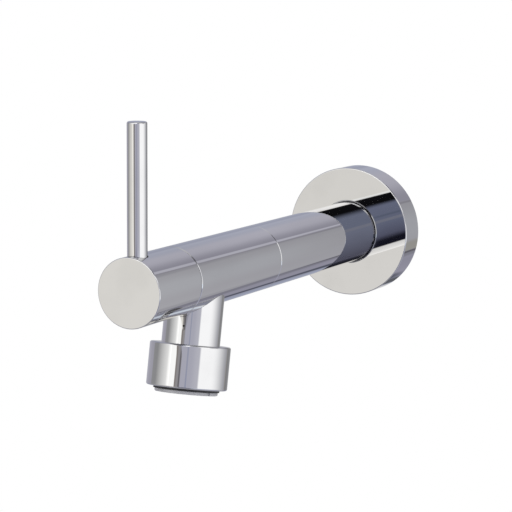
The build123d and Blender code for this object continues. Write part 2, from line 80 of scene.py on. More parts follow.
class TapSizes(bpy.types.PropertyGroup):
    """Lengths of the pieces that show, in the frame of the CAD model."""

    body_radius: length_property(
        "Body radius", "Outside radius of the long body", 15.0)
    body_back: length_property(
        "Body back", "Distance from the wall plane to the body's rear end", 0.5)
    rear_seam: length_property(
        "Rear seam", "Distance from the wall to the seam behind the outlet", 117.0)
    handle_seam: length_property(
        "Handle seam", "Distance from the wall to the front of the spout section", 190.5)
    seam_gap: length_property(
        "Seam gap", "Open gap between the spout section and the handle", 0.4)
    seam_bevel: length_property(
        "Seam bevel", "Small bevel on both edges of each seam", 0.25)
    reach: length_property(
        "Reach", "Distance from the wall to the handle's flat front", 226.0)
    front_edge: length_property(
        "Front edge", "Rounding of the handle's front edge", 0.4)
    flange_radius: length_property(
        "Flange radius", "Outside radius of the wall flange", 32.0)
    flange_depth: length_property(
        "Flange depth", "Distance from the wall to the flange's front face", 15.0)
    flange_edge: length_property(
        "Flange edge", "Rounding of the flange's front edge", 0.5)
    flange_bore: length_property(
        "Flange bore", "Radius of the hole that the body passes through", 15.3)
    lever_radius: length_property(
        "Lever radius", "Radius of the upright lever", 4.25)
    lever_top: length_property(
        "Lever top", "Height of the lever's top above the body's axis", 70.4)
    lever_edge: length_property(
        "Lever edge", "Rounding of the lever's top edge", 0.8)
    lever_station: length_property(
        "Lever station", "Distance from the wall to the lever's axis", 219.0)
    outlet_station: length_property(
        "Outlet station", "Distance from the wall to where the two axes cross", 168.5)
    outlet_tilt: bpy.props.FloatProperty(
        name="Outlet tilt", description="Lean of the outlet away from the wall",
        default=radians(11.0), subtype="ANGLE")
    neck_radius: length_property(
        "Neck radius", "Outside radius of the outlet's neck", 12.8)
    neck_length: length_property(
        "Neck length", "Depth at which the neck meets the aerator housing", 30.5)
    neck_bore: length_property(
        "Neck bore", "Radius of the water way in the neck", 7.0)
    housing_radius: length_property(
        "Housing radius", "Outside radius of the aerator housing", 17.7)
    housing_length: length_property(
        "Housing length", "Length of the aerator housing", 19.0)
    housing_edge: length_property(
        "Housing edge", "Rounding of the housing's outer edges", 0.8)
    thread_radius: length_property(
        "Thread radius", "Outside radius of the inlet's pipe thread", 10.48)
    thread_pitch: length_property(
        "Thread pitch", "Pitch of the inlet's pipe thread", 1.814)
    thread_depth: length_property(
        "Thread depth", "Depth of the inlet's pipe thread", 1.0)
    inlet_length: length_property(
        "Inlet length", "Length of the threaded tail behind the wall plane", 20.0)


class TapColours(bpy.types.PropertyGroup):
    """Base colours of the finishes."""

    chrome: colour_property("Chrome", "Polished chrome plate", (0.5, 0.5, 0.505))
    brass: colour_property("Brass", "Turned brass of the inner parts", (0.62, 0.40, 0.13))
    rubber: colour_property("Rubber", "Sealing rings and washers", (0.010, 0.010, 0.011))
    foam: colour_property("Foam", "Ring behind the flange", (0.085, 0.088, 0.092))
    ceramic: colour_property("Ceramic", "Valve discs", (0.80, 0.78, 0.71))
    grey_plastic: colour_property("Grey plastic", "Aerator insert", (0.38, 0.38, 0.39))
    white_plastic: colour_property("White plastic", "Glide ring and inserts", (0.74, 0.74, 0.71))
    steel: colour_property("Steel", "Strainer, screen and screws", (0.50, 0.49, 0.48))


class StudioSettings(bpy.types.PropertyGroup):
    """Where the camera stands and how bright the studio's cards are."""

    distance: bpy.props.FloatProperty(
        name="Camera distance", description="From the camera to the point it aims at",
        default=0.93949, unit="LENGTH")
    azimuth: bpy.props.FloatProperty(
        name="Camera azimuth", description="Turn of the camera round the tap",
        default=0.48377, subtype="ANGLE")
    elevation: bpy.props.FloatProperty(
        name="Camera elevation", description="Height angle of the camera",
        default=0.1523, subtype="ANGLE")
    roll: bpy.props.FloatProperty(
        name="Camera roll", description="Slight turn of the picture",
        default=0.00614, subtype="ANGLE")
    aim: bpy.props.FloatVectorProperty(
        name="Aim", description="Point in the middle of the picture",
        default=(-0.000345, -0.113, 0.000589), subtype="XYZ", unit="LENGTH")
    lens: bpy.props.FloatProperty(
        name="Lens", description="Focal length in millimetres on a 36 mm sensor",
        default=143.787)
    floor_drop: bpy.props.FloatProperty(
        name="Floor drop", description="Depth of the floor under the tap's axis",
        default=0.30, unit="LENGTH")
    floor_radius: bpy.props.FloatProperty(
        name="Floor radius", description="Radius of the pale round floor",
        default=0.48, unit="LENGTH")
    card: colour_property("Card", "Bright white cards beside the tap", (1.0, 1.0, 1.0))
    room: colour_property("Room", "Plain grey walls of the studio", (0.58, 0.575, 0.625))
    haze: colour_property("Haze", "Cool ceiling and far wall", (0.70, 0.69, 0.79))


# Shader expressions

class Socket:
    """A shader value that can be used in Python expressions."""

    def __init__(self, shader, link):
        self.shader = shader
        self.link = link

    def __add__(self, other):
        return self.shader.maths("ADD", self, other)

    def __radd__(self, other):
        return self.shader.maths("ADD", other, self)

    def __sub__(self, other):
        return self.shader.maths("SUBTRACT", self, other)

    def __rsub__(self, other):
        return self.shader.maths("SUBTRACT", other, self)

    def __mul__(self, other):
        return self.shader.maths("MULTIPLY", self, other)

    def __rmul__(self, other):
        return self.shader.maths("MULTIPLY", other, self)


class Shader:
    """Adds nodes to one material's or world's node tree."""

    # A Mix node has sockets for each kind of data. These are its sockets for colours
    MIX_FACTOR = 0
    MIX_FIRST = 6
    MIX_SECOND = 7
    MIX_RESULT = 2

    def __init__(self, owner):
        owner.use_nodes = True
        self.nodes = owner.node_tree.nodes
        self.links = owner.node_tree.links
        self.nodes.clear()

    def node(self, kind, settings=None, sockets=None, output=0):
        """Adds a node of any type and gives back one of its outputs, where it has any."""
        made = self.nodes.new(kind)
        for name, value in (settings or {}).items():
            setattr(made, name, value)
        for name, value in (sockets or {}).items():
            if isinstance(value, Socket):
                self.links.new(value.link, made.inputs[name])
            else:
                made.inputs[name].default_value = value
        return Socket(self, made.outputs[output]) if made.outputs else None

    def maths(self, operation, first, second=0.0):
        """A Math node, such as ADD or ARCTAN2. Some, such as ABSOLUTE, use only the first."""
        return self.node("ShaderNodeMath", {"operation": operation}, {0: first, 1: second})

    def degrees(self, operation, first, second=0.0):
        """The angle that an inverse Math node gives, in degrees."""
        return self.maths(operation, first, second) * (180 / pi)

    def passage(self, kind, value, start, end):
        """0 before start and 1 after end, with a passage of this kind between them."""
        return self.node(
            "ShaderNodeMapRange", {"interpolation_type": kind, "clamp": True},
            {"Value": value, "From Min": start, "From Max": end, "To Min": 0.0, "To Max": 1.0})

    def smooth(self, value, start, end):
        """0 before start, 1 after end, with a soft passage between them."""
        return self.passage("SMOOTHSTEP", value, start, end)

    def ramp(self, value, start, end):
        """0 before start, 1 after end, straight between them."""
        return self.passage("LINEAR", value, start, end)

    def inside(self, value, low, high, soft):
        """1 between low and high, 0 outside, with edges this soft."""
        rise = self.smooth(value, low - soft, low + soft)
        fall = self.smooth(value, high - soft, high + soft)
        return rise * (1.0 - fall)

    def blend(self, first, second, factor):
        """Colour first where factor is 0 and second where it is 1."""
        sockets = {self.MIX_FACTOR: factor}
        for place, colour in ((self.MIX_FIRST, first), (self.MIX_SECOND, second)):
            sockets[place] = colour if isinstance(colour, Socket) else (*colour, 1.0)
        return self.node("ShaderNodeMix", {"data_type": "RGBA"}, sockets, self.MIX_RESULT)

    def place(self):
        """The point on the object in its own metres."""
        return self.node("ShaderNodeTexCoord", output="Object")

    def noise(self, place, scale, detail=2.0, stretch=(1.0, 1.0, 1.0)):
        """Soft random variation from 0 to 1; scale is in cells per metre."""
        stretched = self.node(
            "ShaderNodeMapping", {"vector_type": "POINT"}, {"Vector": place, "Scale": stretch})
        return self.node(
            "ShaderNodeTexNoise", {"noise_dimensions": "3D"},
            {"Vector": stretched, "Scale": scale, "Detail": detail})

    def cells(self, place, scale):
        """Distance to the middle of the nearest small cell; scale is in cells per metre."""
        return self.node(
            "ShaderNodeTexVoronoi", {"feature": "F1"}, {"Vector": place, "Scale": scale},
            output="Distance")

    def bump(self, height, strength, distance):
        """A surface normal that follows a height."""
        return self.node(
            "ShaderNodeBump", None,
            {"Height": height, "Strength": strength, "Distance": distance})

    def finish(self, kind, sockets, end="ShaderNodeOutputMaterial"):
        """Ends the tree with a shader of this kind on the material's or world's output."""
        surface = self.node(kind, None, sockets)
        self.node(end, None, {"Surface": surface})


def tint(colour, factor):
    """A colour made lighter or darker by a plain number."""
    return tuple(min(channel * factor, 4.0) for channel in colour)


# Finishes, one material for each slot of the record

def polished_chrome(shader, colour):
    """Mirror plate with faint wiping marks and a trace of plating ripple."""
    place = shader.place()
    wipes = shader.noise(place, 60.0, 3.0, (1.0, 0.25, 1.0))
    specks = shader.noise(place, 900.0, 2.0)
    film = shader.smooth(wipes, 0.45, 0.75)
    ripple = shader.noise(place, 130.0, 1.0)
    return {
        "Base Color": shader.blend(tint(colour, 1.01), tint(colour, 0.965), film),
        "Metallic": 1.0,
        "Roughness": 0.012 + film * 0.022 + specks * 0.006,
        "Normal": shader.bump(ripple, 0.04, 0.00002),
    }


def turned_brass(shader, colour):
    """Brass with the fine rings that a lathe leaves."""
    place = shader.place()
    patches = shader.noise(place, 90.0, 4.0)
    rings = shader.noise(place, 1.0, 1.0, (40.0, 9000.0, 40.0))
    return {
        "Base Color": shader.blend(tint(colour, 0.82), tint(colour, 1.12), patches),
        "Metallic": 1.0,
        "Roughness": 0.24 + rings * 0.16,
        "Normal": shader.bump(rings, 0.35, 0.00003),
    }


def black_rubber(shader, colour):
    """Moulded rubber with a fine grain and a light bloom."""
    place = shader.place()
    bloom = shader.noise(place, 300.0, 4.0)
    grain = shader.noise(place, 5200.0, 2.0)
    return {
        "Base Color": shader.blend(colour, tint(colour, 2.0), shader.smooth(bloom, 0.5, 0.8)),
        "Roughness": 0.5 + bloom * 0.2,
        "Normal": shader.bump(grain, 0.3, 0.00003),
    }


def grey_foam(shader, colour):
    """Closed-cell foam with round pores, their hollows darkened as painted shade."""
    place = shader.place()
    pores = shader.cells(place, 1500.0)
    mottle = shader.noise(place, 220.0, 3.0)
    depth = shader.smooth(pores, 0.05, 0.55)
    # Painted shade: each pore is darker towards its middle, standing in for the shade in its
    # hollow; the bump gives the pores their relief
    pores_painted_shade = shader.blend(tint(colour, 0.45), tint(colour, 1.25), depth)
    return {
        "Base Color": shader.blend(
            pores_painted_shade, tint(colour, 1.6), shader.smooth(mottle, 0.62, 0.85) * 0.4),
        "Roughness": 0.9,
        "Normal": shader.bump(depth, 0.8, 0.00015),
    }


def white_ceramic(shader, colour):
    """Ground alumina, polished flat."""
    place = shader.place()
    cloud = shader.noise(place, 400.0, 3.0)
    specks = shader.cells(place, 2600.0)
    pores_painted_shade = shader.blend(colour, tint(colour, 0.93), cloud)
    dark_speck = (1.0 - shader.smooth(specks, 0.05, 0.16)) * 0.5
    return {
        "Base Color": shader.blend(pores_painted_shade, tint(colour, 0.72), dark_speck),
        "Roughness": 0.16 + cloud * 0.08,
        "Coat Weight": 0.3,
        "Coat Roughness": 0.06,
    }


def grey_plastic(shader, colour):
    """Moulded plastic with a fine spark-eroded grain."""
    place = shader.place()
    grain = shader.noise(place, 4200.0, 3.0)
    cloud = shader.noise(place, 160.0, 3.0)
    return {
        "Base Color": shader.blend(tint(colour, 0.88), tint(colour, 1.12), cloud),
        "Roughness": 0.26 + grain * 0.12,
        "Normal": shader.bump(grain, 0.05, 0.00001),
    }


def white_plastic(shader, colour):
    """Slippery moulded plastic, slightly waxy."""
    place = shader.place()
    cloud = shader.noise(place, 250.0, 3.0)
    grain = shader.noise(place, 3600.0, 2.0)
    return {
        "Base Color": shader.blend(tint(colour, 0.95), tint(colour, 1.04), cloud),
        "Roughness": 0.34 + cloud * 0.12,
        "Normal": shader.bump(grain, 0.2, 0.00003),
    }


def stainless_steel(shader, colour):
    """Plain rolled steel with short scratches."""
    place = shader.place()
    scratches = shader.noise(place, 500.0, 4.0, (1.0, 14.0, 1.0))
    cloud = shader.noise(place, 120.0, 2.0)
    return {
        "Base Color": shader.blend(tint(colour, 0.9), tint(colour, 1.1), cloud),
        "Metallic": 1.0,
        "Roughness": 0.22 + scratches * 0.16,
        "Normal": shader.bump(scratches, 0.15, 0.00002),
    }


FINISHES = {
    "polished_chrome": (polished_chrome, "chrome"),
    "turned_brass": (turned_brass, "brass"),
    "black_rubber": (black_rubber, "rubber"),
    "grey_foam": (grey_foam, "foam"),
    "white_ceramic": (white_ceramic, "ceramic"),
    "grey_plastic": (grey_plastic, "grey_plastic"),
    "white_plastic": (white_plastic, "white_plastic"),
    "stainless_steel": (stainless_steel, "steel"),
}


def finish_for(slot):
    """The material of one of the record's slots, made on first use."""
    name = "tap_" + slot
    if name not in bpy.data.materials:
        recipe, colour_name = FINISHES[slot]
        colour = tuple(getattr(bpy.context.scene.tap_colours, colour_name))
        shader = Shader(bpy.data.materials.new(name))
        shader.finish("ShaderNodeBsdfPrincipled", recipe(shader, colour))
    return bpy.data.materials[name]


# Meshes of turned pieces, with exact normals for mirror reflections

def polar(radius, angle, along):
    """The point at this radius and angle about local Z."""
    return (radius * cos(angle), radius * sin(angle), along)


def turn_steps(segments):
    """The start and end angle of each segment of a full turn."""
    for step in range(segments):
        yield 2 * pi * step / segments, 2 * pi * ((step + 1) % segments) / segments


def unit(vector):
    """A flat vector of length one."""
    length = sqrt(vector[0] ** 2 + vector[1] ** 2)
    return (vector[0] / length, vector[1] / length)


def fillet_path(before, here, after, rounding):
    """Points and normals round one corner of a section, as (point, normal) pairs."""
    arriving = unit((here[0] - before[0], here[1] - before[1]))
    leaving = unit((after[0] - here[0], after[1] - here[1]))
    first = (arriving[1], -arriving[0])
    last = (leaving[1], -leaving[0])
    if rounding == 0.0:
        return [(here, first), (here, last)]
    cross = arriving[0] * leaving[1] - arriving[1] * leaving[0]
    turn = atan2(cross, arriving[0] * leaving[0] + arriving[1] * leaving[1])
    bend = rounding if turn > 0 else -rounding
    setback = rounding * tan(abs(turn) / 2)
    start = (here[0] - arriving[0] * setback, here[1] - arriving[1] * setback)
    centre = (start[0] - bend * first[0], start[1] - bend * first[1])
    path = []
    for step in range(FILLET_STEPS + 1):
        angle = turn * step / FILLET_STEPS
        normal = (
            first[0] * cos(angle) - first[1] * sin(angle),
            first[0] * sin(angle) + first[1] * cos(angle),
        )
        path.append(((centre[0] + bend * normal[0], centre[1] + bend * normal[1]), normal))
    return path


def rounded_outline(corners):
    """Points and normals round a closed section.

    Each corner is (radius, along) or (radius, along, rounding). Each entry of the result is
    one short face's start and end, as ((radius, along), normal) pairs.
    """
    points = [tuple(corner[:2]) for corner in corners]
    roundings = [corner[2] if len(corner) > 2 else 0.0 for corner in corners]
    area = 0.0
    for here, after in zip(points, points[1:] + points[:1]):
        area += here[0] * after[1] - after[0] * here[1]
    if area < 0:
        points.reverse()
        roundings.reverse()
    paths = []
    for index, here in enumerate(points):
        after = points[(index + 1) % len(points)]
        paths.append(fillet_path(points[index - 1], here, after, roundings[index]))
    faces = []
    for path, next_path in zip(paths, paths[1:] + paths[:1]):
        for start, end in zip(path, path[1:]):
            if start[0] != end[0]:
                faces.append((start, end))
        faces.append((path[-1], next_path[0]))
    return faces


class Sheet:
    """Collects points, faces and each corner's normal, then makes one mesh object."""

    # Edges sharper than this stay sharp on a piece whose faces have no normals of their own
    SHARP_ANGLE = radians(32)

    def __init__(self, place):
        self.place = place
        self.points = []
        self.faces = []
        self.normals = []
        self.known = {}

    def point(self, spot):
        """The number of a point, shared with any earlier point at the same spot."""
        key = tuple(round(value * 1e8) for value in spot)
        if key not in self.known:
            self.known[key] = len(self.points)
            self.points.append(Vector(spot))
        return self.known[key]

    def face(self, spots, normals=None):
        """Adds a face, leaving out corners that fall together."""
        corners = []
        directions = []
        for index, spot in enumerate(spots):
            number = self.point(spot)
            if number not in corners:
                corners.append(number)
                if normals:
                    directions.append(Vector(normals[index]))
        if len(corners) > 2:
            self.faces.append(corners)
            self.normals.extend(directions)

    def turn(self, corners, segments=SEGMENTS, gap=None):
        """Turns a closed section about local Z. Faces for which gap is true are left out."""
        for start, end in rounded_outline(corners):
            for step, (one, two) in enumerate(turn_steps(segments)):
                if gap and gap(start, end, step):
                    continue
                spots = []
                normals = []
                for (spot, normal), angle in ((start, one), (start, two), (end, two), (end, one)):
                    spots.append(polar(spot[0], angle, spot[1]))
                    normals.append(polar(normal[0], angle, normal[1]))
                self.face(spots, normals)

    def make(self, name, slot, body, node):
        """Makes the object, places it and ties it to the CAD frame."""
        mesh = bpy.data.meshes.new(name)
        mesh.from_pydata([self.place @ point for point in self.points], [], self.faces)
        mesh.shade_smooth()
        if self.normals:
            turn = self.place.to_3x3()
            mesh.normals_split_custom_set([(turn @ normal).normalized() for normal in self.normals])
        else:
            mesh.set_sharp_from_angle(angle=self.SHARP_ANGLE)
        mesh.materials.append(finish_for(slot))
        made = bpy.data.objects.new(name, mesh)
        bpy.context.scene.collection.objects.link(made)
        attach(made, body)
        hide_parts(node)


def turn_chrome(place, corners, name, body, node, segments=SEGMENTS):
    """Turns a section into a chrome piece that stands in for one CAD node."""
    sheet = Sheet(place)
    sheet.turn(corners, segments)
    sheet.make(name, "polished_chrome", body, node)


def along_body():
    """Local Z runs from the wall out along the body, and local Y is up."""
    return Matrix(((1, 0, 0, 0), (0, 0, -1, 0), (0, 1, 0, 0), (0, 0, 0, 1)))


def down_outlet(sizes):
    """Local Z runs down the outlet from the body's axis, and local Y points to the front."""
    lean = sizes.outlet_tilt
    return Matrix((
        (1, 0, 0, 0),
        (0, -cos(lean), -sin(lean), -sizes.outlet_station),
        (0, sin(lean), -cos(lean), 0),
        (0, 0, 0, 1),
    ))


# Operators, one for each piece or group of pieces

class TAP_OT_wall_flange(bpy.types.Operator):
    """Turn the round cup that covers the hole in the wall"""

    bl_idname = "wall_tap.wall_flange"
    bl_label = "Wall flange"

    def execute(self, context):
        sizes = context.scene.tap_sizes
        front = sizes.flange_depth
        outside = sizes.flange_radius
        bore = sizes.flange_bore
        mouth_width = 0.6 * MM
        mouth_depth = 0.23 * MM
        hub = bore + 3.2 * MM
        hub_back = front - 9.0 * MM
        plate_back = front - 3.0 * MM
        skirt = outside - 3.5 * MM
        lip = outside - 2.0 * MM
        lip_height = 2.0 * MM
        corners = [
            (lip, 0.0),
            (outside, 0.0, 0.2 * MM),
            (outside, front, sizes.flange_edge),
            (bore + mouth_width, front, 0.05 * MM),
            (bore, front - mouth_depth, 0.05 * MM),
            (bore, hub_back, 0.2 * MM),
            (hub, hub_back, 0.4 * MM),
            (hub, plate_back, 0.6 * MM),
            (skirt, plate_back, 0.8 * MM),
            (skirt, lip_height, 0.15 * MM),
            (lip, lip_height),
        ]
        turn_chrome(along_body(), corners, "wall_flange_cup", "flange", "wall_flange")
        return {"FINISHED"}


class TAP_OT_body(bpy.types.Operator):
    """Turn the rear tube and the spout section of the long body"""

    bl_idname = "wall_tap.body"
    bl_label = "Body"

    def execute(self, context):
        sizes = context.scene.tap_sizes
        radius = sizes.body_radius
        shoulder = radius - sizes.seam_bevel
        bevel = sizes.seam_bevel
        back = sizes.body_back
        seam = sizes.rear_seam
        inlet_bore = radius - 4.47 * MM
        inlet_end = 17.0 * MM
        bore = radius - 3.0 * MM
        joint_bore = radius - 1.8 * MM
        joint_back = seam - 15.0 * MM
        corners = [
            (bore, inlet_end),
            (inlet_bore, inlet_end),
            (inlet_bore, back, 0.2 * MM),
            (shoulder, back, BEVEL_SOFTNESS),
            (radius, back + bevel, BEVEL_SOFTNESS),
            (radius, seam - bevel, BEVEL_SOFTNESS),
            (shoulder, seam, BEVEL_SOFTNESS),
            (joint_bore, seam),
            (joint_bore, joint_back),
            (bore, joint_back),
        ]
        turn_chrome(along_body(), corners, "rear_body_tube", "tap_body", "rear_body")

        front = sizes.handle_seam
        spigot = radius - 1.85 * MM
        spigot_back = seam - 14.0 * MM
        water_way = radius - 4.95 * MM
        nose = radius - 2.6 * MM
        nose_front = front + 4.5 * MM
        chamber = radius - 4.5 * MM
        chamber_back = seam + 44.0 * MM
        corners = [
            (water_way, spigot_back),
            (spigot, spigot_back, 0.3 * MM),
            (spigot, seam),
            (shoulder, seam, BEVEL_SOFTNESS),
            (radius, seam + bevel, BEVEL_SOFTNESS),
            (radius, front - bevel, BEVEL_SOFTNESS),
            (shoulder, front, BEVEL_SOFTNESS),
            (nose, front),
            (nose, nose_front, 0.3 * MM),
            (chamber, nose_front),
            (chamber, chamber_back),
            (water_way, chamber_back),
        ]
        turn_chrome(along_body(), corners, "spout_body_barrel", "tap_body", "spout_body")
        return {"FINISHED"}


# A hole in the handle: its place along the body, its radius, how high its floor lies above
# the body's axis, and the first and last of the barrel's segments that it takes up
Hole = namedtuple("Hole", "station radius floor low high")


class TAP_OT_handle(bpy.types.Operator):
    """Turn the handle's cap, drill it for its grub screw and its lever, and add the lever"""

    bl_idname = "wall_tap.handle"
    bl_label = "Handle and lever"

    # How far the faces round a hole reach from its middle, in radii of the hole
    MARGIN = 1.3
    BACK_MARGIN = 1.6
    ROWS = 10

    # Quarters of the barrel's turn, counted from the right
    ON_TOP = 1
    BELOW = 3

    def execute(self, context):
        sizes = context.scene.tap_sizes
        radius = sizes.body_radius
        shoulder = radius - sizes.seam_bevel
        bore = radius - 2.0 * MM
        back = sizes.handle_seam + sizes.seam_gap
        hub_back = sizes.reach - 16.5 * MM
        screw_station = hub_back + 4.5 * MM
        screw_bore = 2.55 * MM
        screw_floor = radius - 8.4 * MM
        screw = self.hole(radius, screw_station, screw_bore, screw_floor, self.BELOW)
        joint_line = 0.35 * MM
        socket_bore = sizes.lever_radius + joint_line
        socket_floor = radius - 2.6 * MM
        foot = socket_floor + 0.1 * MM
        socket = self.hole(radius, sizes.lever_station, socket_bore, socket_floor, self.ON_TOP)
        first = screw.station - self.BACK_MARGIN * screw.radius
        last = socket.station + self.MARGIN * socket.radius
        bands = [first + (last - first) * row / self.ROWS for row in range(self.ROWS + 1)]
        corners = [
            (bore, back),
            (shoulder, back, BEVEL_SOFTNESS),
            (radius, back + sizes.seam_bevel, BEVEL_SOFTNESS),
            *((radius, station) for station in bands),
            (radius, sizes.reach, sizes.front_edge),
            (0.0, sizes.reach),
            (0.0, hub_back),
            (bore, hub_back, 0.4 * MM),
        ]

        def over_hole(start, end, step):
            """True for the faces of the barrel that the two holes take up."""
            middle = (start[0][1] + end[0][1]) / 2
            on_barrel = start[0][0] == end[0][0] == radius
            in_reach = any(hole.low <= step < hole.high for hole in (screw, socket))
            return on_barrel and first < middle < last and in_reach

        cap = Sheet(along_body())
        cap.turn(corners, gap=over_hole)
        for hole in (screw, socket):
            self.drill(cap, radius, bands, hole)
        cap.make("handle_cap_shell", "polished_chrome", "handle", "handle_cap")

        upright = Matrix.Translation((0, -sizes.lever_station, 0))
        corners = [
            (0.0, foot),
            (sizes.lever_radius, foot, 0.2 * MM),
            (sizes.lever_radius, sizes.lever_top, sizes.lever_edge),
            (0.0, sizes.lever_top),
        ]
        turn_chrome(upright, corners, "lever_bar", "handle", "lever_pin", LEVER_SEGMENTS)
        return {"FINISHED"}

    def hole(self, radius, station, hole_radius, floor, quarter):
        """A hole drilled square into the barrel at one of its quarters."""
        half = ceil(self.MARGIN * hole_radius / radius / (2 * pi / SEGMENTS))
        middle = SEGMENTS * quarter // 4
        return Hole(station, hole_radius, floor, middle - half, middle + half)

    def drill(self, cap, radius, bands, hole):
        """Fills the gap in the barrel with a ring of faces round a bored hole."""
        step_angle = 2 * pi / SEGMENTS
        middle = (hole.low + hole.high) / 2 * step_angle

        def bored(side, along, height):
            """A point beside the hole's middle line, at a height above the body's axis."""
            return (
                height * cos(middle) - side * sin(middle),
                height * sin(middle) + side * cos(middle),
                along,
            )

        def on_barrel(side, along):
            return bored(side, along, sqrt(radius ** 2 - side ** 2))

        edge = [(number, bands[0]) for number in range(hole.low, hole.high + 1)]
        edge += [(hole.high, along) for along in bands[1:-1]]
        edge += [(number, bands[-1]) for number in range(hole.high, hole.low - 1, -1)]
        edge += [(hole.low, along) for along in reversed(bands[1:-1])]
        rim = []
        for number, along in edge:
            across = (number * step_angle - middle) * radius
            forward = along - hole.station
            length = sqrt(across ** 2 + forward ** 2)
            rim.append((
                hole.radius * across / length, hole.station + hole.radius * forward / length))
        border = [polar(radius, number * step_angle, along) for number, along in edge]
        for index in range(len(edge)):
            after = (index + 1) % len(edge)
            spots = [border[index], border[after], on_barrel(*rim[after]), on_barrel(*rim[index])]
            cap.face(spots, [(x / radius, y / radius, 0.0) for x, y, _ in spots])
            spots = [on_barrel(*rim[index]), on_barrel(*rim[after])]
            spots += [bored(*rim[after], hole.floor), bored(*rim[index], hole.floor)]
            normals = []
            for side, along in (rim[index], rim[after], rim[after], rim[index]):
                x, y, _ = bored(-side / hole.radius, 0.0, 0.0)
                normals.append((x, y, (hole.station - along) / hole.radius))
            cap.face(spots, normals)
        bottom = [bored(side, along, hole.floor) for side, along in rim]
        cap.face(bottom, [polar(1.0, middle, 0.0)] * len(bottom))


class TAP_OT_outlet(bpy.types.Operator):
    """Shape the neck that leans down from the body and fits its round side"""

    bl_idname = "wall_tap.outlet"
    bl_label = "Outlet neck"

    SADDLE_RINGS = 4

    def execute(self, context):
        sizes = context.scene.tap_sizes
        lean = sizes.outlet_tilt
        outside = sizes.neck_radius
        bore = sizes.neck_bore
        end = sizes.neck_length
        seat = sizes.body_radius + 0.05 * MM
        thread = outside - 1.5 * MM
        thread_end = end + 9.0 * MM
        down = (0.0, 0.0, 1.0)
        neck = Sheet(down_outlet(sizes))

        def on_saddle(radius, angle):
            """Where a line down the neck's side leaves the body, with the face's normal."""
            across = radius * cos(angle)
            forward = radius * sin(angle)
            height = sqrt(seat ** 2 - across ** 2)
            depth = (height + forward * sin(lean)) / cos(lean)
            normal = Vector((-across, -height * sin(lean), -height * cos(lean)))
            return (across, forward, depth), normal.normalized()

        spread = (outside - bore) / self.SADDLE_RINGS
        rings = [bore + spread * ring for ring in range(self.SADDLE_RINGS + 1)]
        lower = [(outside, end), (thread, end), (thread, thread_end), (bore, thread_end)]
        for one, two in turn_steps(SEGMENTS):
            facing = [polar(1.0, angle, 0.0) for angle in (one, two, two, one)]
            for inner, outer in zip(rings, rings[1:]):
                corners = ((inner, one), (inner, two), (outer, two), (outer, one))
                spots, normals = zip(*[on_saddle(*corner) for corner in corners])
                neck.face(spots, normals)
            top = [on_saddle(outside, one)[0], on_saddle(outside, two)[0]]
            neck.face([*top, polar(outside, two, end), polar(outside, one, end)], facing)
            for (radius, depth), (next_radius, next_depth) in zip(lower, lower[1:]):
                spots = [polar(radius, one, depth), polar(radius, two, depth)]
                spots += [polar(next_radius, two, next_depth), polar(next_radius, one, next_depth)]
                neck.face(spots, [down] * 4 if depth == next_depth else facing)
            spots = [polar(bore, one, thread_end), polar(bore, two, thread_end)]
            spots += [on_saddle(bore, two)[0], on_saddle(bore, one)[0]]
            neck.face(spots, [(-x, -y, 0.0) for x, y, _ in facing])
        neck.make("outlet_neck_tube", "polished_chrome", "tap_body", "outlet_neck")
        return {"FINISHED"}


class TAP_OT_aerator(bpy.types.Operator):
    """Turn the collar that holds the aerator at the outlet's end"""

    bl_idname = "wall_tap.aerator"
    bl_label = "Aerator housing"

    def execute(self, context):
        sizes = context.scene.tap_sizes
        outside = sizes.housing_radius
        top = sizes.neck_length
        end = top + sizes.housing_length
        hub = sizes.neck_radius - 1.45 * MM
        hub_end = top + 11.0 * MM
        bore = outside - 3.5 * MM
        corners = [
            (hub, top),
            (outside, top, sizes.housing_edge),
            (outside, end, sizes.housing_edge),
            (bore, end, sizes.housing_edge / 2),
            (bore, hub_end, 0.4 * MM),
            (hub, hub_end, 0.3 * MM),
        ]
        turn_chrome(down_outlet(sizes), corners, "aerator_collar", "tap_body", "aerator_housing")
        return {"FINISHED"}


class TAP_OT_inlet(bpy.types.Operator):
    """Cut the pipe thread on the brass tail behind the wall"""

    bl_idname = "wall_tap.inlet"
    bl_label = "Threaded inlet"

    ROWS_PER_PITCH = 14
    FLANK_SLOPE = 1.25

    def execute(self, context):
        sizes = context.scene.tap_sizes
        crest = sizes.thread_radius
        pitch = sizes.thread_pitch
        back = -sizes.inlet_length
        front = 14.0 * MM
        bore = crest - 3.0 * MM
        relief = crest - 0.9 * MM
        relief_end = 2.0 * MM
        lead = 0.8 * MM
        run_out = 1.5 * pitch
        rows = int(sizes.inlet_length / (pitch / self.ROWS_PER_PITCH))

        def thread_radius(along, angle):
            """Radius of the threaded side, shallower where the thread starts and runs out."""
            phase = ((along - back) / pitch + angle / (2 * pi)) % 1.0
            flank = min(1.0, abs(2 * phase - 1) * self.FLANK_SLOPE)
            into = min(1.0, max(0.0, -along / run_out))
            start = min(crest, crest - lead + (along - back))
            return min(start, crest - sizes.thread_depth * (1 - flank) * into)

        def plain_side(angle):
            """The rest of the tail's section, from the thread's front round to its back."""
            section = [
                (thread_radius(0.0, angle), 0.0),
                (relief, 0.0),
                (relief, relief_end),
                (crest, relief_end),
                (crest, front),
                (bore, front),
                (bore, back),
                (thread_radius(back, angle), back),
            ]
            return [polar(radius, angle, along) for radius, along in section]

        tail = Sheet(along_body())
        levels = [back + sizes.inlet_length * row / rows for row in range(rows + 1)]
        for one, two in turn_steps(THREAD_SEGMENTS):
            for low, high in zip(levels, levels[1:]):
                corners = ((low, one), (low, two), (high, two), (high, one))
                tail.face([
                    polar(thread_radius(along, angle), angle, along) for along, angle in corners])
            left, right = plain_side(one), plain_side(two)
            for index in range(len(left) - 1):
                tail.face([left[index], right[index], right[index + 1], left[index + 1]])
        tail.make("inlet_tail_thread", "turned_brass", "tap_body", "inlet_tail")
        return {"FINISHED"}


